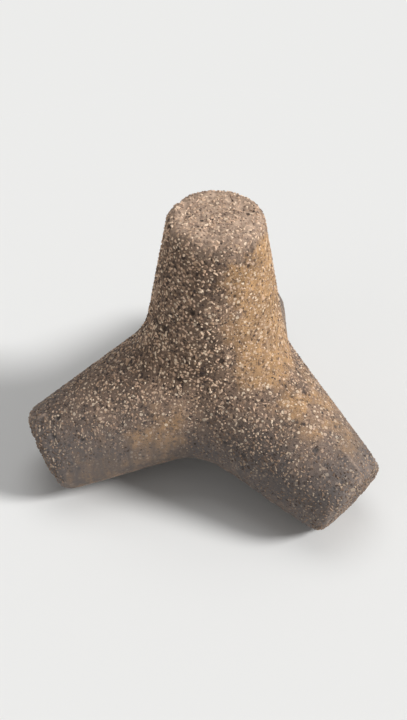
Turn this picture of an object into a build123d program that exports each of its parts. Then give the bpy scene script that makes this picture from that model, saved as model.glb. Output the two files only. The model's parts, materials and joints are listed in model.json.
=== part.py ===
from build123d import *
from itertools import combinations
from math import acos, atan, cos, radians, sin, tan
import os

# A concrete tetrapod, the block that breakwaters are armoured with, cast in one piece.
# Its four tapered legs point to the corners of a regular tetrahedron: one stands upright
# and three carry the block, one of them towards +Y. Millimetres, +Z up. The origin is on
# the ground, below the upright leg's axis.

os.makedirs("parts", exist_ok=True)

# Leg: a cone with a flat outer end and a rounded edge round it
end_diameter = 438.0
root_diameter = 682.0
leg_length = 692.0
end_edge_radius = 60.0

# Hollow curve where two legs meet
valley_radius = 300.0

# Low rib that the joint between two shells of the mould leaves on the concrete
joint_rib_width = 14.0
joint_rib_height = 3.0
joint_rib_depth = 12.0

# Angle between any two legs, and the turns of the other three round any one of them
spread = acos(-1 / 3)
half_spread = spread / 2
third_turn = 120.0
turns = (0.0, third_turn, 2 * third_turn)
first_heading = 90.0

# Distances along a leg, from the point where all four axes meet to the root circle,
# which touches the other three, to the middle of the rounded edge, and to the end
end_radius = end_diameter / 2
root_radius = root_diameter / 2
root_distance = root_radius / tan(half_spread)
edge_distance = root_distance + leg_length - end_edge_radius
end_distance = root_distance + leg_length

# Slope of a leg's side
taper = (root_radius - end_radius) / leg_length
slope = atan(taper)

# The lower legs' rounded edges touch the ground, which sets the meeting point's height
edge_ring_radius = end_radius + end_edge_radius * (taper - 1 / cos(slope))
centre_height = edge_distance * -cos(spread) + edge_ring_radius * sin(spread) + end_edge_radius
centre = Vector(0, 0, centre_height)


def side_radius(distance):
    """Radius of a leg's straight side at a distance along its axis."""
    return end_radius + taper * (end_distance - distance)


def facing_side(distance, proud):
    """Point in the plane of two legs' axes, on the first leg's side that faces the other.

    The plane's Y axis halves the angle between the legs. The point stands proud of the
    side, or inside it where proud is negative.
    """
    radius = side_radius(distance) + proud / cos(slope)
    across = distance * sin(half_spread) - radius * cos(half_spread)
    along = distance * cos(half_spread) + radius * sin(half_spread)
    return (across, along)


def valley_point(proud):
    """Point where the facing sides of two legs would meet without the hollow curve."""
    distance = (side_radius(0) + proud / cos(slope)) / (tan(half_spread) + taper)
    return facing_side(distance, proud)


def mirrored(point):
    """The same point on the other leg of the pair."""
    across, along = point
    return (-across, along)


def leaning_axis(heading):
    """Direction of a leg that leans out and down at a heading, given one that is upright."""
    east = sin(spread) * cos(radians(heading))
    north = sin(spread) * sin(radians(heading))
    return Vector(east, north, cos(spread))


# A third of a leg, between two joints of the mould, with the leg's axis along +Z
with BuildPart() as leg_third:
    with BuildSketch(Plane.XZ) as leg_profile:
        with BuildLine():
            Polyline(
                (0, 0),
                (side_radius(0), 0),
                (end_radius, end_distance),
                (0, end_distance),
                close=True,
            )
        make_face()
        outer_corner = leg_profile.vertices().group_by(Axis.Y)[-1].sort_by(Axis.X)[-1]
        fillet(outer_corner, end_edge_radius)
    revolve(axis=Axis.Z, revolution_arc=third_turn)

# Axes of the standing block's four legs
upright = Vector(0, 0, 1)
back, left, right = [leaning_axis(first_heading + turn) for turn in turns]

# The quarter of the block that one shell of the mould shapes: a third of each of three
# legs, round the corner where their valleys meet, opposite a fourth leg along +Z
with BuildPart() as quarter:
    for leg_axis, beside in ((back, right), (left, back), (right, left)):
        with Locations(Plane(origin=(0, 0, 0), x_dir=beside, z_dir=leg_axis)):
            add(leg_third.part)
    valleys = quarter.edges().filter_by(
        lambda edge: edge.geom_type not in (GeomType.CIRCLE, GeomType.LINE)
    )
    fillet(valleys, valley_radius)

# Each quarter is opposite one leg, and its +Y side turns towards another
quarter_planes = []
for opposite, beside in ((upright, back), (back, upright), (left, right), (right, left)):
    quarter_planes.append(Plane(origin=centre, x_dir=beside.cross(opposite), z_dir=opposite))

# One joint of the mould runs down each pair of facing sides, in the plane of both axes
joint_planes = []
for one, other in combinations((upright, back, left, right), 2):
    joint_planes.append(Plane(origin=centre, x_dir=one - other, z_dir=one.cross(other)))

# Six ribs, each down one leg's side, through the valley and out along the next leg
with BuildPart() as joint_ribs:
    with BuildSketch(*joint_planes):
        with BuildLine():
            crest_end = facing_side(edge_distance, joint_rib_height)
            foot_end = facing_side(edge_distance, -joint_rib_depth)
            crest = FilletPolyline(
                crest_end,
                valley_point(joint_rib_height),
                mirrored(crest_end),
                radius=valley_radius - joint_rib_height,
            )
            Polyline(
                crest @ 1,
                mirrored(foot_end),
                valley_point(-joint_rib_depth),
                foot_end,
                crest @ 0,
            )
        make_face()
    extrude(amount=joint_rib_width / 2, both=True)

# The whole casting
with BuildPart() as tetrapod:
    with Locations(*quarter_planes):
        add(quarter.part)
    add(joint_ribs.part)

tetrapod.part.label = "tetrapod"
export_step(tetrapod.part, "parts/tetrapod.step")
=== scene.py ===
"""Looks of the concrete tetrapod: weathered mortar with exposed stones, on a pale floor."""

import json
import math
import random
from itertools import combinations

import bmesh
import bpy
from bpy.props import (
    FloatProperty,
    FloatVectorProperty,
    IntProperty,
    PointerProperty,
)
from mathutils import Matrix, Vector

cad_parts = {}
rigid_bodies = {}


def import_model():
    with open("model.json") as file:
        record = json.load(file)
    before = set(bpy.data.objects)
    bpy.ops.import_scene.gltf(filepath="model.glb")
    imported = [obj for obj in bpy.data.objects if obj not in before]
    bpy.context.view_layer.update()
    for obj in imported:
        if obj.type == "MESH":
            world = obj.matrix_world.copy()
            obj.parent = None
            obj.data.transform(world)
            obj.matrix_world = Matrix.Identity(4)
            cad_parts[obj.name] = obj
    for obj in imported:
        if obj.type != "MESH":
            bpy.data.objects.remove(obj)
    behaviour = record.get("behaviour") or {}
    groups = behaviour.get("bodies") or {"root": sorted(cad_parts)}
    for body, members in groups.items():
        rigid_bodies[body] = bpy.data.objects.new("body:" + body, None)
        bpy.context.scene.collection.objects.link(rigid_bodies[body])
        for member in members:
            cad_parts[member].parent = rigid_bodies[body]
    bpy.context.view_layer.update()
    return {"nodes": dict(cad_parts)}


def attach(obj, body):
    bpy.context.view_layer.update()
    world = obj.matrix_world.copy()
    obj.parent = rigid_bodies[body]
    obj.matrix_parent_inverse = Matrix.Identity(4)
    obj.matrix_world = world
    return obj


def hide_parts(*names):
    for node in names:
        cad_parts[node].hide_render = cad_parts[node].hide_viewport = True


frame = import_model()

bl_info = {
    "name": "Concrete Tetrapod",
    "version": (1, 0, 0),
    "blender": (4, 5, 0),
    "location": "View3D > Sidebar > Tetrapod",
    "description": "Weathers the cast concrete block and sets its exposed stones",
    "category": "Add Mesh",
}

NODE = "tetrapod"
BODY = "root"

# The point where the four legs' axes meet, and the directions of the legs
MEETING_POINT = Vector((0.0, 0.0, 0.510048))
LEG_AXES = {
    "upright_leg": Vector((0.0, 0.0, 1.0)),
    "back_leg": Vector((0.0, 0.942809, -0.333333)),
    "left_leg": Vector((-0.816497, -0.471405, -0.333333)),
    "right_leg": Vector((0.816497, -0.471405, -0.333333)),
}

# Names of the attributes that the modelling leaves for the materials
REST = "rest_place"
EXPOSED = "exposed"
WORN = "worn_end"
DAMP_AND_PAINTED_SHADE = "damp"
HOLLOW = "hollow"
LOST = "lost"
SMOOTH_AND_PAINTED_LIGHT = "smooth_skin"
JOINT = "joint"
TINT = "tint"

# What a Noise texture averages, and the range that holds most of it
NOISE_MEAN = 0.5
NOISE_MOST = (0.3, 0.7)

# Colours that several finishes share, and the colours that stones and grit are picked from
# Painted shade in the hollows and pores, with some grime, and on the stones of the lower legs
GRIME_AND_PAINTED_SHADE = (0.06, 0.042, 0.034)
DUST = (0.36, 0.235, 0.15)
WORN_MORTAR = (0.78, 0.565, 0.42)
STONE_COLOURS = (
    (0.0, (0.05, 0.035, 0.03)),
    (0.18, (0.105, 0.072, 0.057)),
    (0.32, (0.29, 0.19, 0.128)),
    (0.48, (0.51, 0.344, 0.226)),
    (0.66, (0.71, 0.49, 0.352)),
    (0.84, (0.82, 0.615, 0.443)),
    (0.97, (0.9, 0.728, 0.548)),
)
GRIT_COLOURS = (
    (0.0, (0.05, 0.034, 0.028)),
    (0.3, (0.17, 0.11, 0.078)),
    (0.7, (0.4, 0.26, 0.17)),
    (1.0, (0.76, 0.6, 0.44)),
)


class BlockSettings(bpy.types.PropertyGroup):
    """Sizes and colours of the weathered mortar."""

    mesh_size: FloatProperty(
        name="Mesh Size",
        description="Side of the faces that carry the relief",
        default=0.0094,
        min=0.004,
        unit="LENGTH",
    )
    skin_loss: FloatProperty(
        name="Skin Loss",
        description="Depth of mortar washed out where the stones show",
        default=0.008,
        min=0.0,
        unit="LENGTH",
    )
    rim_loss: FloatProperty(
        name="Rim Loss",
        description="Depth of the dents rubbed and broken into the leg ends",
        default=0.012,
        min=0.0,
        unit="LENGTH",
    )
    pit_depth: FloatProperty(
        name="Pit Depth",
        description="Depth of the larger holes left by lost stones and air",
        default=0.008,
        min=0.0,
        unit="LENGTH",
    )
    mortar: FloatVectorProperty(
        name="Mortar",
        description="Colour of the sandy mortar between the stones",
        subtype="COLOR",
        size=3,
        min=0.0,
        max=1.0,
        default=(0.235, 0.158, 0.112),
    )
    skin: FloatVectorProperty(
        name="Skin",
        # Colour of the smooth skin that the mould left, bright and golden as painted sunlight
        description="Colour of the smooth skin that the mould left",
        subtype="COLOR",
        size=3,
        min=0.0,
        max=1.0,
        default=(0.55, 0.325, 0.152),
    )
    damp: FloatVectorProperty(
        name="Damp",
        # Colour of the lower legs: painted shade, darker and greyer towards the ground, with
        # damp from spray
        description="Colour of the lower legs, darkened by spray",
        subtype="COLOR",
        size=3,
        min=0.0,
        max=1.0,
        default=(0.115, 0.104, 0.102),
    )


class StoneSettings(bpy.types.PropertyGroup):
    """Sizes of the exposed stones."""

    coarse_gap: FloatProperty(
        name="Coarse Gap",
        description="Least distance between two coarse stones",
        default=0.023,
        min=0.01,
        unit="LENGTH",
    )
    coarse_size: FloatProperty(
        name="Coarse Size",
        description="Largest width of a coarse stone",
        default=0.043,
        min=0.005,
        unit="LENGTH",
    )
    fine_gap: FloatProperty(
        name="Fine Gap",
        description="Least distance between two fine stones",
        default=0.0118,
        min=0.008,
        unit="LENGTH",
    )
    fine_size: FloatProperty(
        name="Fine Size",
        description="Largest width of a fine stone",
        default=0.0225,
        min=0.004,
        unit="LENGTH",
    )
    shapes: IntProperty(
        name="Shapes",
        description="Number of different stones",
        default=10,
        min=1,
        max=30,
    )


class StageSettings(bpy.types.PropertyGroup):
    """Camera, lamps and floor."""

    view_bearing: FloatProperty(
        name="View Bearing",
        description="Turn of the camera round the block from straight in front",
        default=math.radians(12.4),
        subtype="ANGLE",
    )
    view_height: FloatProperty(
        name="View Height",
        description="Angle at which the camera looks down",
        default=math.radians(42.0),
        subtype="ANGLE",
    )
    view_distance: FloatProperty(
        name="View Distance",
        description="Distance from the camera to the middle of the block",
        default=5.78,
        unit="LENGTH",
    )
    lens: FloatProperty(
        name="Lens",
        description="Focal length on a 36 mm wide sensor",
        default=59.0,
    )
    floor: FloatVectorProperty(
        name="Floor",
        description="Colour of the plain floor",
        subtype="COLOR",
        size=3,
        min=0.0,
        max=1.0,
        default=(0.8, 0.8, 0.79),
    )


def add_node(tree, kind, inputs=None, **settings):
    """Add a node, set its properties, and link or set its inputs."""
    node = tree.nodes.new(kind)
    for name, value in settings.items():
        setattr(node, name, value)
    for key, value in (inputs or {}).items():
        if isinstance(value, bpy.types.NodeSocket):
            tree.links.new(value, node.inputs[key])
        else:
            node.inputs[key].default_value = value
    return node


def maths(tree, operation, *values, clamp=False):
    """The result of a Math node."""
    node = add_node(tree, "ShaderNodeMath", dict(enumerate(values)), operation=operation)
    node.use_clamp = clamp
    return node.outputs[0]


def total(tree, first, second):
    """Two numbers added."""
    return maths(tree, "ADD", first, second)


def product(tree, first, second):
    """Two numbers multiplied."""
    return maths(tree, "MULTIPLY", first, second)


def less(tree, first, second, clamp=False):
    """The first number less the second."""
    return maths(tree, "SUBTRACT", first, second, clamp=clamp)


def rest_of(tree, share):
    """What a share of 0 to 1 leaves."""
    return less(tree, 1.0, share)


def vector_maths(tree, operation, *values, output=0):
    """The result of a Vector Math node."""
    inputs = dict(enumerate(values))
    node = add_node(tree, "ShaderNodeVectorMath", inputs, operation=operation)
    return node.outputs[output]


def along(tree, place, direction):
    """How far a place or a normal reaches in a direction."""
    return vector_maths(tree, "DOT_PRODUCT", place, direction, output=1)


def scaled(tree, vector, factor):
    """A vector times a number."""
    inputs = {0: vector, "Scale": factor}
    return add_node(tree, "ShaderNodeVectorMath", inputs, operation="SCALE").outputs[0]


def rise(tree, value, low, high, kind="SMOOTHSTEP"):
    """0 where a value is at low or beyond, 1 at high, smooth between them."""
    inputs = {"Value": value, "From Min": low, "From Max": high}
    node = add_node(tree, "ShaderNodeMapRange", inputs, interpolation_type=kind)
    return node.outputs["Result"]


def noise(tree, place, scale, detail=2.0, roughness=0.5, output=0):
    """A Noise texture, 0 to 1, with scale lumps in a metre."""
    inputs = {"Vector": place, "Scale": scale, "Detail": detail, "Roughness": roughness}
    return add_node(tree, "ShaderNodeTexNoise", inputs).outputs[output]


def spread(tree, texture):
    """A noise with the range that holds most of it spread from 0 to 1."""
    return rise(tree, texture, *NOISE_MOST)


def cells(tree, place, scale):
    """A Voronoi texture, with scale cells in a metre."""
    return add_node(tree, "ShaderNodeTexVoronoi", {"Vector": place, "Scale": scale})


def between(tree, share, low, high):
    """A value that goes from low to high with a share of 0 to 1."""
    node = add_node(tree, "ShaderNodeMix", {0: share, 2: low, 3: high}, data_type="FLOAT")
    return node.outputs[0]


def colour_between(tree, share, first, second, blend="MIX"):
    """A colour that goes from the first to the second with a share of 0 to 1."""
    inputs = {0: share, 6: first, 7: second}
    node = add_node(tree, "ShaderNodeMix", inputs, data_type="RGBA", blend_type=blend)
    return node.outputs[2]


def darkened(tree, colour, factor):
    """A colour made darker or lighter all over by a number."""
    grey = add_node(tree, "ShaderNodeCombineColor", {0: factor, 1: factor, 2: factor})
    return colour_between(tree, 1.0, colour, grey.outputs[0], blend="MULTIPLY")


def solid(colour):
    """A colour property with its alpha."""
    return (*colour, 1.0)


def shaded(colour, factor):
    """A lighter or darker colour."""
    return tuple(min(1.0, channel * factor) for channel in colour)


def new_group(name):
    """An empty Geometry Nodes group that takes a mesh and gives one."""
    group = bpy.data.node_groups.new(name, "GeometryNodeTree")
    for direction in ("INPUT", "OUTPUT"):
        group.interface.new_socket(
            "Geometry", in_out=direction, socket_type="NodeSocketGeometry"
        )
    return group, add_node(group, "NodeGroupInput"), add_node(group, "NodeGroupOutput")


def named(tree, name, kind="FLOAT"):
    """Read a stored attribute in a Geometry Nodes group."""
    node = add_node(tree, "GeometryNodeInputNamedAttribute", data_type=kind)
    node.inputs["Name"].default_value = name
    return node.outputs["Attribute"]


def store(tree, geometry, name, value, kind="FLOAT", domain="POINT"):
    """Store an attribute on a mesh or on instances."""
    node = add_node(
        tree,
        "GeometryNodeStoreNamedAttribute",
        {"Geometry": geometry, "Name": name, "Value": value},
        data_type=kind,
        domain=domain,
    )
    return node.outputs["Geometry"]


def evaluated_mesh(obj, name):
    """The mesh of an object with its modifiers applied."""
    graph = bpy.context.evaluated_depsgraph_get()
    graph.update()
    mesh = bpy.data.meshes.new_from_object(obj.evaluated_get(graph))
    mesh.name = name
    return mesh


def new_piece(name, mesh, material):
    """A finished piece of the block, which rides with it and takes its finish slot."""
    piece = bpy.data.objects.new(name, mesh)
    bpy.context.scene.collection.objects.link(piece)
    mesh.materials.clear()
    mesh.materials.append(material)
    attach(piece, BODY)
    return piece


def leg_places(tree, place):
    """How far a place lies along each leg, from the point where the axes meet."""
    from_meeting = vector_maths(tree, "SUBTRACT", place, MEETING_POINT)
    return {name: along(tree, from_meeting, axis) for name, axis in LEG_AXES.items()}


def furthest(tree, reaches):
    """The longest of the reaches along the legs."""
    first, *others = reaches.values()
    for other in others:
        first = maths(tree, "MAXIMUM", first, other)
    return first


def height_of(tree, place):
    """Height of a place above the ground."""
    return add_node(tree, "ShaderNodeSeparateXYZ", {0: place}).outputs["Z"]


# How the weathering lies on the block. Each EDGE is the pair of values where a share begins
# and where it is full, in metres out along a leg or above the ground. Each SWING is how far
# the two noises, wide patches and smaller unevenness, push such an edge to and fro.
PATCH_SCALE = 2.1
UNEVEN_SCALE = 9.0
WORN_EDGE = (0.92, 1.06)
WORN_SWING = 0.22
# The damp share also places painted shade: the lower legs darker and greyer towards the ground
DAMP_AND_PAINTED_SHADE_EDGE = (0.6, 0.0)
DAMP_AND_PAINTED_SHADE_SWING = 0.5
EXPOSED_EDGE = (0.32, 1.3)
EXPOSED_SWING = 0.9

# The side that keeps the mould's smooth skin and takes painted sunlight, on the key lamp's
# side, and how squarely a face has to turn to it
SKIN_AND_PAINTED_LIGHT_SIDE = Vector((0.92, -0.37, 0.2)).normalized()
SKIN_AND_PAINTED_LIGHT_EDGE = (1.06, 1.54)
SKIN_AND_PAINTED_LIGHT_SWING = 1.3

# How far the stones show at least, and what wear, unevenness and kept skin add or take
LEAST_EXPOSED = 0.2
EXPOSED_BY_WEAR = 0.4
EXPOSED_UNEVENLY = 0.8
COVERED_BY_SKIN = 0.36

# Lines of the mould's joints: their soft sides, how far out they end, and their gaps
JOINT_SIDES = (0.009, 0.005)
JOINT_ENDS = (0.885, 0.86)
JOINT_GAP_SCALE = 7.0
JOINT_GAPS = (0.46, 0.56)

# Lumps that the washed-out mortar is left in, from shallow to deep
LUMP_SCALE = 30.0
LUMP_SHARES = (0.35, 1.3)

# Pits: the share of cells without one, and sizes in cell widths
PIT_SCALE = 21.0
NO_PIT = 0.68
LARGEST_PIT = 0.45
LEAST_PIT_SHARE = 0.45
PIT_SIDE = 0.2

# Hollows left by the mould's own bent plates, and dents rubbed into the ends
DISH_SCALE = 5.0
DISH_DEPTH = 0.0022
DENT_SIDES = (0.42, 0.75)

# Nothing is lost where the block stands
FOOTING_EDGE = (0.004, 0.035)


def kept_skin_and_painted_light(tree, normal, uneven, worn):
    """1 on the key lamp's side, where the block keeps the smooth skin that the mould left and
    takes painted sunlight.
    """
    facing = along(tree, normal, SKIN_AND_PAINTED_LIGHT_SIDE)
    facing = total(tree, facing, product(tree, uneven, SKIN_AND_PAINTED_LIGHT_SWING))
    return product(tree, rise(tree, facing, *SKIN_AND_PAINTED_LIGHT_EDGE), rest_of(tree, worn))


def exposed_share(tree, height, patches, uneven, worn, smooth_and_painted_light):
    """How far the mortar is washed from between the stones, most of all high up."""
    exposed = total(tree, height, product(tree, patches, EXPOSED_SWING))
    exposed = between(tree, rise(tree, exposed, *EXPOSED_EDGE), LEAST_EXPOSED, 1.0)
    exposed = total(tree, exposed, product(tree, worn, EXPOSED_BY_WEAR))
    swing = product(tree, less(tree, uneven, NOISE_MEAN), EXPOSED_UNEVENLY)
    exposed = total(tree, exposed, swing)
    return less(tree, exposed, product(tree, smooth_and_painted_light, COVERED_BY_SKIN), clamp=True)


def joint_lines(tree, place, reach):
    """1 on the six broken lines where the mould's shells met, short of the leg ends."""
    from_meeting = vector_maths(tree, "SUBTRACT", place, MEETING_POINT)
    lines = None
    for one, other in combinations(LEG_AXES.values(), 2):
        offset = along(tree, from_meeting, one.cross(other).normalized())
        line = rise(tree, maths(tree, "ABSOLUTE", offset), *JOINT_SIDES)
        for leg, beside in ((one, other), (other, one)):
            # Square to the leg beside it, because the cosine between two legs is -1/3
            facing = leg + beside / 3
            side = along(tree, from_meeting, facing)
            line = product(tree, line, maths(tree, "GREATER_THAN", side, 0.0))
        lines = line if lines is None else maths(tree, "MAXIMUM", lines, line)
    lines = product(tree, lines, rise(tree, reach, *JOINT_ENDS))
    gaps = rise(tree, noise(tree, place, JOINT_GAP_SCALE, detail=3.0), *JOINT_GAPS)
    return product(tree, lines, gaps)


def pits(tree, place, exposed):
    """1 in the holes of lost stones and air bubbles, smaller where the stones show less."""
    holes = cells(tree, place, PIT_SCALE)
    draws = add_node(tree, "ShaderNodeSeparateXYZ", {0: holes.outputs["Color"]})
    chance = rise(tree, draws.outputs["X"], NO_PIT, 1.0, kind="LINEAR")
    size = product(tree, chance, LARGEST_PIT)
    size = product(tree, size, between(tree, exposed, LEAST_PIT_SHARE, 1.0))
    return rise(tree, less(tree, size, holes.outputs["Distance"]), 0.0, PIT_SIDE)


def relief_group(settings):
    """Washes out the mortar, pits it and stores where stones, wear, the damp with its painted
    shade and the skin with its painted sunlight show.
    """
    group, start, end = new_group("mortar_relief")
    place = add_node(group, "GeometryNodeInputPosition").outputs[0]
    normal = add_node(group, "GeometryNodeInputNormal").outputs[0]
    height = height_of(group, place)
    reach = furthest(group, leg_places(group, place))
    patches = noise(group, place, PATCH_SCALE, detail=2.0)
    uneven = noise(group, place, UNEVEN_SCALE, detail=3.0, roughness=0.6)

    ragged_reach = total(group, reach, product(group, uneven, WORN_SWING))
    worn = rise(group, ragged_reach, *WORN_EDGE)
    ragged_height = total(group, height, product(group, patches, -DAMP_AND_PAINTED_SHADE_SWING))
    damp = rise(group, ragged_height, *DAMP_AND_PAINTED_SHADE_EDGE)
    smooth_and_painted_light = kept_skin_and_painted_light(group, normal, uneven, worn)
    exposed = exposed_share(group, height, patches, uneven, worn, smooth_and_painted_light)
    joint = joint_lines(group, place, reach)
    footing = rise(group, height, *FOOTING_EDGE)

    # Mortar washed out between the stones, less on the joints, and the pits
    lumps = noise(group, place, LUMP_SCALE, detail=3.0, roughness=0.6)
    washed = product(group, exposed, between(group, lumps, *LUMP_SHARES))
    washed = product(group, washed, rest_of(group, joint))
    washed = product(group, washed, settings.skin_loss)
    pitted = product(group, pits(group, place, exposed), settings.pit_depth)
    depth = product(group, total(group, washed, pitted), footing)
    deepest = settings.skin_loss + settings.pit_depth
    hollow = maths(group, "DIVIDE", depth, deepest, clamp=True)

    # What the block has lost as a whole, stones and all
    dish = product(group, noise(group, place, DISH_SCALE, detail=1.0), DISH_DEPTH)
    rubbed = product(group, worn, rise(group, uneven, *DENT_SIDES))
    rubbed = product(group, rubbed, settings.rim_loss)
    lost = product(group, total(group, dish, rubbed), footing)

    mesh = store(group, start.outputs[0], REST, place, kind="FLOAT_VECTOR")
    for name, value in (
        (EXPOSED, exposed),
        (SMOOTH_AND_PAINTED_LIGHT, smooth_and_painted_light),
        (WORN, worn),
        (DAMP_AND_PAINTED_SHADE, damp),
        (HOLLOW, hollow),
        (LOST, lost),
        (JOINT, joint),
    ):
        mesh = store(group, mesh, name, value)
    inwards = product(group, total(group, depth, lost), -1.0)
    offset = scaled(group, normal, inwards)
    moved = add_node(group, "GeometryNodeSetPosition", {"Geometry": mesh, "Offset": offset})
    group.links.new(moved.outputs[0], end.inputs[0])
    return group


# Stones: all sizes are shares of the largest width. The height of a stone's top over its
# middle, the least stone, how deep its top lies below the cast surface, and how near to a
# coarse stone's middle no fine one goes
STONE_TOP = 0.38
LEAST_STONE = 0.6
BEDDING = (0.04, 0.11)
COVERED_REACH = 0.3

# Length, breadth and unevenness of a stone before it is flattened
STONE_LENGTH = (0.46, 0.54)
STONE_BREADTH = (0.34, 0.46)
CORNER_REACH = (0.85, 1.05)
COARSE_CORNERS = 15
FINE_CORNERS = 10

# Where the stones lie: how far they must be exposed, the share that the smooth skin hides,
# the hollows that are deep enough and too deep, and the lowest ones above the ground
STONE_CHANCE = (0.08, 0.8)
HIDDEN_BY_SKIN = 0.3
DEEP_ENOUGH = (0.16, 0.21)
TOO_DEEP = (0.62, 0.54)
CLEAR_OF_GROUND = (0.02, 0.05)

# Points tried in a square of one gap before those too near to others are dropped
POINTS_TRIED = 2.8

# Seeds, and the steps from one leg's to the next and from coarse stones to fine ones
COARSE_SEED = 41
FINE_SEED = 43
LEG_SEED_STEP = 100
FINE_SEED_STEP = 10


def random_value(tree, low, high, seed):
    """A random number for each point or instance."""
    node = add_node(tree, "FunctionNodeRandomValue", {"Seed": seed}, data_type="FLOAT")
    # Random Value has a pair of limits for each kind of number, and these are the plain ones
    node.inputs[2].default_value = low
    node.inputs[3].default_value = high
    return node.outputs[1]


def stone_chance(tree, place):
    """How likely a stone is to show at a place, 0 to 1."""
    chance = rise(tree, named(tree, EXPOSED), *STONE_CHANCE, kind="LINEAR")
    chance = product(tree, chance, rest_of(tree, named(tree, JOINT)))
    skinned = product(tree, named(tree, SMOOTH_AND_PAINTED_LIGHT), HIDDEN_BY_SKIN)
    chance = product(tree, chance, rest_of(tree, skinned))
    # No stone where the mortar still covers it, and none in the pits of lost stones
    hollow = named(tree, HOLLOW)
    chance = product(tree, chance, rise(tree, hollow, *DEEP_ENOUGH))
    chance = product(tree, chance, rise(tree, hollow, *TOO_DEEP))
    return product(tree, chance, rise(tree, height_of(tree, place), *CLEAR_OF_GROUND))


def stone_spots(tree, mesh, chosen, chance, gap, seed):
    """Points on a mesh at least a gap apart."""
    inputs = {
        "Mesh": mesh,
        "Selection": chosen,
        "Distance Min": gap,
        "Density Max": POINTS_TRIED / gap**2,
        "Density Factor": chance,
        "Seed": seed,
    }
    return add_node(
        tree, "GeometryNodeDistributePointsOnFaces", inputs, distribute_method="POISSON"
    )


def turned_to(tree, normal, seed):
    """A rotation that lays a stone flat on the surface, turned at random."""
    facing = add_node(tree, "FunctionNodeAlignRotationToVector", {"Vector": normal}, axis="Z")
    turn = add_node(
        tree,
        "FunctionNodeAxisAngleToRotation",
        {"Axis": (0.0, 0.0, 1.0), "Angle": random_value(tree, 0.0, math.tau, seed)},
    )
    turned = add_node(
        tree,
        "FunctionNodeRotateRotation",
        {"Rotation": facing.outputs[0], "Rotate By": turn.outputs[0]},
        rotation_space="LOCAL",
    )
    return turned.outputs[0]


def bedded_stones(tree, spots, points, shapes, size, seed):
    """Stones on the points, turned at random, with their tops just below the cast surface."""
    normal = spots.outputs["Normal"]
    width = random_value(tree, LEAST_STONE * size, size, seed + 1)
    turned = turned_to(tree, normal, seed + 2)
    least, most = (STONE_TOP + depth for depth in BEDDING)
    sink = product(tree, width, random_value(tree, least, most, seed + 3))
    below = product(tree, total(tree, sink, named(tree, LOST)), -1.0)
    rest = named(tree, REST, kind="FLOAT_VECTOR")
    seat = vector_maths(tree, "ADD", rest, scaled(tree, normal, below))
    seated = add_node(tree, "GeometryNodeSetPosition", {"Geometry": points, "Position": seat})
    stones = add_node(
        tree,
        "GeometryNodeCollectionInfo",
        {"Collection": shapes, "Separate Children": True, "Reset Children": True},
    )
    placed = add_node(
        tree,
        "GeometryNodeInstanceOnPoints",
        {
            "Points": seated.outputs[0],
            "Instance": stones.outputs[0],
            "Pick Instance": True,
            "Rotation": turned,
            "Scale": width,
        },
    )
    tint = random_value(tree, 0.0, 1.0, seed + 4)
    tinted = store(tree, placed.outputs[0], TINT, tint, domain="INSTANCE")
    return add_node(tree, "GeometryNodeRealizeInstances", {"Geometry": tinted}).outputs[0]


def stone_group(leg, settings, coarse_shapes, fine_shapes, seed):
    """Beds coarse and fine stones in one leg's part of the weathered block."""
    group, start, end = new_group(f"{leg}_stones")
    mesh = start.outputs[0]
    place = named(group, REST, kind="FLOAT_VECTOR")
    reaches = leg_places(group, place)
    own = reaches.pop(leg)
    on_leg = maths(group, "GREATER_THAN", own, furthest(group, reaches))
    chance = stone_chance(group, place)
    fine_seed = seed + FINE_SEED_STEP
    coarse = stone_spots(group, mesh, on_leg, chance, settings.coarse_gap, seed)
    fine = stone_spots(group, mesh, on_leg, chance, settings.fine_gap, fine_seed)

    # No fine stone where a coarse one already lies
    nearest = add_node(
        group,
        "GeometryNodeProximity",
        {"Target": coarse.outputs["Points"]},
        target_element="POINTS",
    )
    reach = COVERED_REACH * settings.coarse_size
    covered = maths(group, "LESS_THAN", nearest.outputs["Distance"], reach)
    free = add_node(
        group,
        "GeometryNodeDeleteGeometry",
        {"Geometry": fine.outputs["Points"], "Selection": covered},
        domain="POINT",
    )
    joined = add_node(group, "GeometryNodeJoinGeometry")
    for spots, points, shapes, size, draw in (
        (coarse, coarse.outputs["Points"], coarse_shapes, settings.coarse_size, seed),
        (fine, free.outputs[0], fine_shapes, settings.fine_size, fine_seed),
    ):
        stones = bedded_stones(group, spots, points, shapes, size, draw)
        group.links.new(stones, joined.inputs[0])
    group.links.new(joined.outputs[0], end.inputs[0])
    return group


def stone_shapes(name, count, corners, seed):
    """A collection of crushed stones about 1 across, all with tops at the same height."""
    draws = random.Random(seed)
    shapes = bpy.data.collections.new(name)
    for index in range(count):
        shape = bmesh.new()
        length = draws.uniform(*STONE_LENGTH)
        breadth = draws.uniform(*STONE_BREADTH)
        for _ in range(corners):
            point = Vector(draws.gauss(0.0, 1.0) for _ in range(3)).normalized()
            size = draws.uniform(*CORNER_REACH)
            corner = (point.x * length * size, point.y * breadth * size, point.z * size)
            shape.verts.new(corner)
        bmesh.ops.convex_hull(shape, input=shape.verts[:])
        inside = [vert for vert in shape.verts if not vert.link_faces]
        bmesh.ops.delete(shape, geom=inside, context="VERTS")
        top = max(vert.co.z for vert in shape.verts)
        flatter = (1.0, 1.0, STONE_TOP / top)
        bmesh.ops.scale(shape, vec=flatter, verts=shape.verts[:])
        bmesh.ops.recalc_face_normals(shape, faces=shape.faces[:])
        mesh = bpy.data.meshes.new(f"{name}_{index}")
        shape.to_mesh(mesh)
        shape.free()
        shapes.objects.link(bpy.data.objects.new(f"{name}_{index}", mesh))
    return shapes


def material_start(name):
    """A material with an empty tree but for its shader, and that tree."""
    material = bpy.data.materials.new(name)
    material.use_nodes = True
    tree = material.node_tree
    return material, tree, tree.nodes["Principled BSDF"]


def attribute(tree, name, output="Fac"):
    """Read a stored attribute in a material."""
    return add_node(tree, "ShaderNodeAttribute", attribute_name=name).outputs[output]


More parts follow.
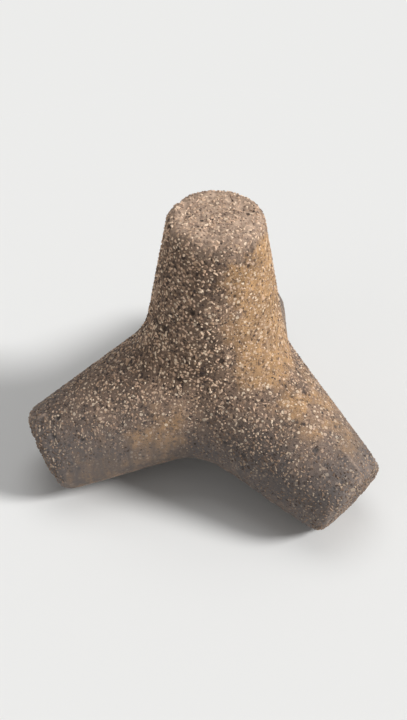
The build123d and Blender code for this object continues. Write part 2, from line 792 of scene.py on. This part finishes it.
def picked_colour(tree, share, stops):
    """The colour that a share of 0 to 1 picks from a range of colours."""
    ramp = add_node(tree, "ShaderNodeValToRGB", {"Fac": share})
    elements = ramp.color_ramp.elements
    while len(elements) < len(stops):
        elements.new(1.0)
    for element, (position, colour) in zip(elements, stops):
        element.position = position
        element.color = solid(colour)
    return ramp.outputs[0]


def grains(tree, place, scale, least, most, edge):
    """Grains in cells: a random share for each, and 1 where one lies.

    Their sizes go from the least to the most, in cell widths. A negative size is no grain.
    """
    found = cells(tree, place, scale)
    draws = add_node(tree, "ShaderNodeSeparateXYZ", {0: found.outputs["Color"]})
    size = between(tree, draws.outputs["Y"], least, most)
    inside = less(tree, size, found.outputs["Distance"])
    return draws.outputs["X"], rise(tree, inside, 0.0, edge)


def two_shades(tree, texture, colour, darker, lighter):
    """A colour that a noise varies between a darker and a lighter shade."""
    dark = solid(shaded(colour, darker))
    light = solid(shaded(colour, lighter))
    return colour_between(tree, spread(tree, texture), dark, light)


# The mortar's patterns, in lumps or cells to a metre
CLOUD_SCALE = 3.2
BLOTCH_SCALE = 14.0
SAND_SCALE = 330.0
CHIP_SCALE = 58.0
GRIT_SCALE = 125.0
PORE_SCALE = 47.0

# Runs of stain: their lumps across and down the block, and how often and how far they bend
RUN_SCALES = (30.0, 30.0, 2.6)
BEND_SCALE = 6.0
BEND = 0.06

# How far each part of the mortar stands out or goes in, in metres
CHIP_RELIEF = 0.0018
GRIT_RELIEF = 0.0009
SAND_RELIEF = 0.0009
BLOTCH_RELIEF = 0.002
PORE_RELIEF = -0.004

# How far the kept skin, with its painted sunlight, hides the mortar, the worn ends turn pale,
# the hollows and pores turn dark with painted shade and grime, blotches of grime add to that,
# and the joints show
SKIN_AND_PAINTED_LIGHT_HOLD = 0.35
WORN_PALENESS = 0.7
GRIME_AND_PAINTED_SHADE_STRENGTH = 0.92
GRIMY_BLOTCHES = 0.5
JOINT_PALENESS = 0.2

DRY_ROUGHNESS = 0.92
DAMP_ROUGHNESS = 0.75


def stain_runs(tree, place):
    """Runs of stain down the block, bent a little so that they don't look ruled."""
    bend = noise(tree, place, BEND_SCALE, detail=2.0, output=1)
    bend = vector_maths(tree, "SUBTRACT", bend, (NOISE_MEAN, NOISE_MEAN, NOISE_MEAN))
    bent = vector_maths(tree, "ADD", place, scaled(tree, bend, BEND))
    drawn_out = add_node(tree, "ShaderNodeMapping", {"Vector": bent, "Scale": RUN_SCALES})
    runs = noise(tree, drawn_out.outputs[0], 1.0, detail=4.0, roughness=0.65)
    return spread(tree, runs)


def weathered_mortar(settings):
    """Sandy mortar with grit, worn pale at the ends, with painted shade in its hollows and
    pores and on the damp lower legs, and painted sunlight in the skin's colour.
    """
    material, tree, shader = material_start("weathered_mortar")
    place = attribute(tree, REST, "Vector")
    exposed = attribute(tree, EXPOSED)
    worn = attribute(tree, WORN)
    damp = attribute(tree, DAMP_AND_PAINTED_SHADE)
    smooth_and_painted_light = attribute(tree, SMOOTH_AND_PAINTED_LIGHT)
    clouds = noise(tree, place, CLOUD_SCALE, detail=4.0, roughness=0.6)
    blotches = noise(tree, place, BLOTCH_SCALE, detail=4.0, roughness=0.65)
    sand = noise(tree, place, SAND_SCALE, detail=3.0, roughness=0.7)
    runs = stain_runs(tree, place)

    mortar = two_shades(tree, clouds, settings.mortar, darker=0.62, lighter=1.32)
    # The skin's colour: its own golden tone with painted sunlight in it, on the key lamp's
    # side
    skin = two_shades(tree, blotches, settings.skin, darker=0.72, lighter=1.12)
    bare = less(tree, exposed, product(tree, smooth_and_painted_light, SKIN_AND_PAINTED_LIGHT_HOLD))
    base = colour_between(tree, rise(tree, bare, low=0.15, high=0.65), skin, mortar)

    # Small stones and grit that stay flush in the mortar
    tints, chips = grains(tree, place, CHIP_SCALE, least=0.16, most=0.58, edge=0.08)
    chips = product(tree, chips, rise(tree, exposed, low=0.0, high=0.4))
    chips = product(tree, chips, between(tree, smooth_and_painted_light, low=1.0, high=0.7))
    base = colour_between(tree, chips, base, picked_colour(tree, tints, STONE_COLOURS))
    tints, grit = grains(tree, place, GRIT_SCALE, least=0.3, most=0.55, edge=0.12)
    grit = product(tree, grit, rest_of(tree, chips))
    grit_shown = product(tree, grit, between(tree, exposed, low=0.3, high=0.8))
    base = colour_between(tree, grit_shown, base, picked_colour(tree, tints, GRIT_COLOURS))
    sandy = between(tree, sand, low=0.4, high=1.6)
    streaky = between(tree, runs, low=0.84, high=1.14)
    base = darkened(tree, base, product(tree, sandy, streaky))

    # Pale where the ends are rubbed, and dark in the hollows: painted shade, with grime in
    # blotches
    paleness = product(tree, worn, WORN_PALENESS)
    base = colour_between(tree, paleness, base, solid(WORN_MORTAR))
    grime_and_painted_shade = product(tree, blotches, GRIMY_BLOTCHES)
    grime_and_painted_shade = total(tree, attribute(tree, HOLLOW), grime_and_painted_shade)
    grime_and_painted_shade = product(tree, rise(tree, grime_and_painted_shade, low=0.45, high=0.98), GRIME_AND_PAINTED_SHADE_STRENGTH)
    base = colour_between(tree, grime_and_painted_shade, base, solid(GRIME_AND_PAINTED_SHADE))
    # Painted shade in the pores
    _, pores = grains(tree, place, PORE_SCALE, least=-0.4, most=0.46, edge=0.1)
    pores = product(tree, pores, between(tree, exposed, low=0.2, high=1.0))
    pores = product(tree, pores, between(tree, smooth_and_painted_light, low=1.0, high=0.75))
    base = colour_between(tree, product(tree, pores, GRIME_AND_PAINTED_SHADE_STRENGTH), base, solid(GRIME_AND_PAINTED_SHADE))

    # Damp lower legs with painted shade, darker and greyer towards the ground, with runs of
    # stain down them, and the joints over all
    stained_and_painted_shade = product(tree, damp, between(tree, runs, low=0.92, high=0.72))
    base = colour_between(tree, stained_and_painted_shade, base, solid(settings.damp))
    joint = product(tree, attribute(tree, JOINT), JOINT_PALENESS)
    base = colour_between(tree, joint, base, solid(WORN_MORTAR))
    tree.links.new(base, shader.inputs["Base Color"])
    roughness = between(tree, damp, DRY_ROUGHNESS, DAMP_ROUGHNESS)
    tree.links.new(roughness, shader.inputs["Roughness"])
    shader.inputs["Specular IOR Level"].default_value = 0.3

    relief = product(tree, chips, CHIP_RELIEF)
    for share, height in (
        (grit, GRIT_RELIEF),
        (sand, SAND_RELIEF),
        (blotches, BLOTCH_RELIEF),
        (pores, PORE_RELIEF),
    ):
        relief = total(tree, relief, product(tree, share, height))
    inputs = {"Height": relief, "Strength": 0.85, "Distance": 1.0}
    bump = add_node(tree, "ShaderNodeBump", inputs)
    tree.links.new(bump.outputs[0], shader.inputs["Normal"])
    return material


# The stones' patterns, in lumps to a metre, and how far dust, wear, and damp with painted
# shade cover a stone
MOTTLE_SCALE = 120.0
DUST_SCALE = 60.0
STONE_GRAIN_SCALE = 400.0
DUSTINESS = 0.25
STONE_WEAR = 0.3
STONE_DAMP_AND_PAINTED_SHADE = 0.6


def exposed_stone():
    """Crushed stone in creams, tans, pinks and browns, dusty with mortar."""
    material, tree, shader = material_start("exposed_stone")
    place = add_node(tree, "ShaderNodeTexCoord").outputs["Object"]
    stone = picked_colour(tree, attribute(tree, TINT), STONE_COLOURS)
    mottle = noise(tree, place, MOTTLE_SCALE, detail=4.0, roughness=0.65)
    stone = darkened(tree, stone, between(tree, mottle, low=0.6, high=1.4))
    dust = rise(tree, noise(tree, place, DUST_SCALE, detail=3.0), low=0.45, high=0.7)
    for share, most, colour in (
        (dust, DUSTINESS, DUST),
        (attribute(tree, WORN), STONE_WEAR, WORN_MORTAR),
        # Painted shade and damp on the lower legs
        (attribute(tree, DAMP_AND_PAINTED_SHADE), STONE_DAMP_AND_PAINTED_SHADE, GRIME_AND_PAINTED_SHADE),
    ):
        stone = colour_between(tree, product(tree, share, most), stone, solid(colour))
    tree.links.new(stone, shader.inputs["Base Color"])
    shader.inputs["Roughness"].default_value = 0.82
    shader.inputs["Specular IOR Level"].default_value = 0.35
    grain = noise(tree, place, STONE_GRAIN_SCALE, detail=3.0, roughness=0.7)
    inputs = {"Height": grain, "Strength": 0.5, "Distance": 0.001}
    bump = add_node(tree, "ShaderNodeBump", inputs)
    tree.links.new(bump.outputs[0], shader.inputs["Normal"])
    return material


# Corners of the cast mesh this near to each other are one
MERGE_DISTANCE = 1e-5


class TETRAPOD_OT_weather_block(bpy.types.Operator):
    """Remesh the cast block finely and wash out its mortar"""

    bl_idname = "tetrapod.weather_block"
    bl_label = "Weather the Block"

    def execute(self, context):
        settings = context.scene.tetrapod_block
        merged = bmesh.new()
        merged.from_mesh(frame["nodes"][NODE].data)
        bmesh.ops.remove_doubles(merged, verts=merged.verts[:], dist=MERGE_DISTANCE)
        cast_mesh = bpy.data.meshes.new("cast_surface")
        merged.to_mesh(cast_mesh)
        merged.free()
        cast = bpy.data.objects.new("cast_surface", cast_mesh)
        context.scene.collection.objects.link(cast)
        remesh = cast.modifiers.new("remesh", "REMESH")
        remesh.mode = "VOXEL"
        remesh.voxel_size = settings.mesh_size
        relief = cast.modifiers.new("relief", "NODES")
        relief.node_group = relief_group(settings)
        mesh = evaluated_mesh(cast, "weathered_block")
        bpy.data.objects.remove(cast)
        mesh.shade_smooth()
        block = new_piece("weathered_block", mesh, weathered_mortar(settings))
        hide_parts(NODE)
        return {"FINISHED"}


class TETRAPOD_OT_set_stones(bpy.types.Operator):
    """Set the exposed stones, as one piece for each leg"""

    bl_idname = "tetrapod.set_stones"
    bl_label = "Set the Stones"

    def execute(self, context):
        settings = context.scene.tetrapod_stones
        block = bpy.data.objects.get("weathered_block")
        if block is None:
            raise RuntimeError("Weather the block first: the stones are set on it")
        count = settings.shapes
        coarse_shapes = stone_shapes("coarse_stone", count, COARSE_CORNERS, COARSE_SEED)
        fine_shapes = stone_shapes("fine_stone", count, FINE_CORNERS, FINE_SEED)
        material = exposed_stone()
        for index, leg in enumerate(LEG_AXES):
            source = bpy.data.objects.new(f"{leg}_source", block.data)
            context.scene.collection.objects.link(source)
            modifier = source.modifiers.new("stones", "NODES")
            modifier.node_group = stone_group(
                leg, settings, coarse_shapes, fine_shapes, LEG_SEED_STEP * index
            )
            stones = evaluated_mesh(source, f"{leg}_stones")
            bpy.data.objects.remove(source)
            new_piece(f"{leg}_stones", stones, material)
        for shapes in (coarse_shapes, fine_shapes):
            for shape in list(shapes.objects):
                bpy.data.objects.remove(shape)
            bpy.data.collections.remove(shapes)
        return {"FINISHED"}


# Lamps: how far each stands to the right, to the front and up, its width in degrees, and
# its strength. They and the light from all round add up to the light on the open floor
LAMPS = {
    "key": ((12.4, 2.8, 9.2), 16.0, 2.97),
    "fill": ((-9.0, 9.0, 6.4), 40.0, 0.16),
    "top": ((0.0, -2.4, 11.0), 40.0, 0.72),
}
ROOM_LIGHT = 0.25
FLOOR_LIGHT = 1.05

# Half the floor's width, and how far from the block it turns into the even background
FLOOR_REACH = 60.0
EVEN_FROM = (1.6, 3.6)

# The point that the camera looks at, up from the ground and to the left of the middle
AIM_HEIGHT = 0.57
AIM_LEFT = 0.054
SIGHT_LIMIT = 100.0


def far_lamp(name, side, width, strength):
    """A large soft lamp, so far off on one side that it lights the floor evenly."""
    lamp = bpy.data.lights.new(name, "SUN")
    lamp.angle = math.radians(width)
    lamp.energy = strength
    holder = bpy.data.objects.new(name, lamp)
    holder.location = side
    holder.rotation_euler = (-side).to_track_quat("-Z", "Y").to_euler()
    bpy.context.scene.collection.objects.link(holder)


def seen_directly(tree):
    """1 for what the camera sees, itself or through or in something, and 0 for other light."""
    path = add_node(tree, "ShaderNodeLightPath")
    seen = total(tree, path.outputs["Is Camera Ray"], path.outputs["Is Glossy Ray"])
    return maths(tree, "ADD", seen, path.outputs["Is Transmission Ray"], clamp=True)


def mixed_shaders(tree, share, first, second):
    """A shader that goes from the first to the second with a share of 0 to 1."""
    inputs = {0: share, 1: first.outputs[0], 2: second.outputs[0]}
    return add_node(tree, "ShaderNodeMixShader", inputs).outputs[0]


def studio_world(colour):
    """Soft light from all round, behind which the camera sees an even background."""
    world = bpy.data.worlds.new("studio")
    world.use_nodes = True
    tree = world.node_tree
    light = tree.nodes["Background"]
    light.inputs["Color"].default_value = (1.0, 1.0, 1.0, 1.0)
    light.inputs["Strength"].default_value = ROOM_LIGHT
    inputs = {"Color": solid(shaded(colour, FLOOR_LIGHT)), "Strength": 1.0}
    even = add_node(tree, "ShaderNodeBackground", inputs)
    mixed = mixed_shaders(tree, seen_directly(tree), light, even)
    tree.links.new(mixed, tree.nodes["World Output"].inputs["Surface"])
    return world


def floor_material(colour):
    """Plain pale floor, which turns into an even background away from the block's shadow."""
    material, tree, shader = material_start("floor")
    shader.inputs["Base Color"].default_value = solid(colour)
    shader.inputs["Roughness"].default_value = 0.9
    shader.inputs["Specular IOR Level"].default_value = 0.1
    inputs = {"Color": solid(shaded(colour, FLOOR_LIGHT)), "Strength": 1.0}
    even = add_node(tree, "ShaderNodeEmission", inputs)
    place = add_node(tree, "ShaderNodeTexCoord").outputs["Object"]
    away = rise(tree, vector_maths(tree, "LENGTH", place, output=1), *EVEN_FROM)
    mixed = mixed_shaders(tree, product(tree, seen_directly(tree), away), shader, even)
    tree.links.new(mixed, tree.nodes["Material Output"].inputs["Surface"])
    return material


class TETRAPOD_OT_set_stage(bpy.types.Operator):
    """Lay the floor, hang the lamps and place the camera"""

    bl_idname = "tetrapod.set_stage"
    bl_label = "Set the Stage"

    def execute(self, context):
        settings = context.scene.tetrapod_stage
        scene = context.scene

        ground = bmesh.new()
        bmesh.ops.create_grid(ground, x_segments=1, y_segments=1, size=FLOOR_REACH)
        mesh = bpy.data.meshes.new("floor")
        ground.to_mesh(mesh)
        ground.free()
        mesh.materials.append(floor_material(settings.floor))
        floor = bpy.data.objects.new("floor", mesh)
        scene.collection.objects.link(floor)

        bearing = settings.view_bearing
        right = Vector((math.cos(bearing), math.sin(bearing), 0.0))
        front = Vector((math.sin(bearing), -math.cos(bearing), 0.0))
        up = Vector((0.0, 0.0, 1.0))
        for name, ((across, ahead, above), width, strength) in LAMPS.items():
            side = right * across + front * ahead + up * above
            far_lamp(name, side, width, strength)
        scene.world = studio_world(settings.floor)
        scene.view_settings.view_transform = "Standard"

        aim = up * AIM_HEIGHT - right * AIM_LEFT
        view = settings.view_height
        back = front * math.cos(view) + up * math.sin(view)
        lens = bpy.data.cameras.new("camera")
        lens.lens = settings.lens
        lens.clip_end = SIGHT_LIMIT
        camera = bpy.data.objects.new("camera", lens)
        camera.location = aim + back * settings.view_distance
        camera.rotation_euler = (-back).to_track_quat("-Z", "Y").to_euler()
        scene.collection.objects.link(camera)
        scene.camera = camera
        return {"FINISHED"}


class TETRAPOD_PT_panel(bpy.types.Panel):
    """The steps in order"""

    bl_idname = "TETRAPOD_PT_panel"
    bl_label = "Concrete Tetrapod"
    bl_space_type = "VIEW_3D"
    bl_region_type = "UI"
    bl_category = "Tetrapod"

    def draw(self, context):
        scene = context.scene
        groups = (scene.tetrapod_block, scene.tetrapod_stones, scene.tetrapod_stage)
        for operator, settings in zip(OPERATORS, groups):
            box = self.layout.box()
            for name in settings.__annotations__:
                box.prop(settings, name)
            box.operator(operator.bl_idname)


OPERATORS = (
    TETRAPOD_OT_weather_block,
    TETRAPOD_OT_set_stones,
    TETRAPOD_OT_set_stage,
)
SETTINGS = {
    "tetrapod_block": BlockSettings,
    "tetrapod_stones": StoneSettings,
    "tetrapod_stage": StageSettings,
}


def register():
    for group in SETTINGS.values():
        bpy.utils.register_class(group)
    for operator in OPERATORS:
        bpy.utils.register_class(operator)
    bpy.utils.register_class(TETRAPOD_PT_panel)
    for name, group in SETTINGS.items():
        setattr(bpy.types.Scene, name, PointerProperty(type=group))


def unregister():
    for name in SETTINGS:
        delattr(bpy.types.Scene, name)
    bpy.utils.unregister_class(TETRAPOD_PT_panel)
    for operator in reversed(OPERATORS):
        bpy.utils.unregister_class(operator)
    for group in reversed(SETTINGS.values()):
        bpy.utils.unregister_class(group)


def main():
    register()
    bpy.ops.tetrapod.weather_block()
    bpy.ops.tetrapod.set_stones()
    bpy.ops.tetrapod.set_stage()


if __name__ == "__main__":
    main()
